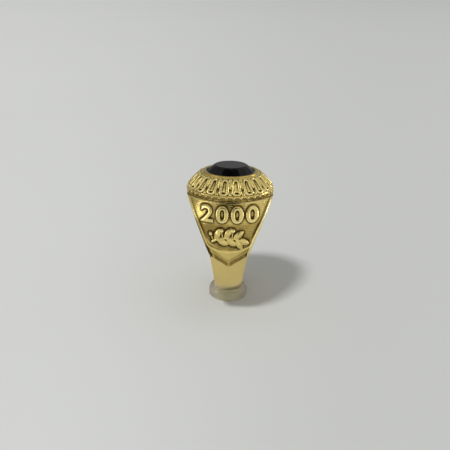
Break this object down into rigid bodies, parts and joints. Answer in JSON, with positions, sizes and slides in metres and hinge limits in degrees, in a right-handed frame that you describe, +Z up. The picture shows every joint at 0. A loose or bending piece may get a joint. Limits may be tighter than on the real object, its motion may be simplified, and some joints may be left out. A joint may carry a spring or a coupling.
{
  "type": "onyx ring on a clear foot",
  "caption": "Heavy gold ring with an oval domed head, a faceted black stone and raised shoulder panels, standing upright on a small clear round foot.",
  "frame": {"origin": "middle of the foot's flat underside, in the plane of the surface that the foot stands on", "axes": "+X along the finger that wears the ring, +Y across it, away from the shoulder panel that the picture shows, +Z up, from the foot to the stone"},
  "size_m": [0.0176, 0.0234, 0.0286],
  "materials": {
    "gold": "polished yellow gold, darkened in the recesses of the relief",
    "onyx": "polished black stone",
    "clear_foot": "clear soft plastic, slightly clouded"
  },
  "bodies": {
    "root": {"ring": "gold", "stone": "onyx", "foot": "clear_foot"}
  },
  "joints": []
}
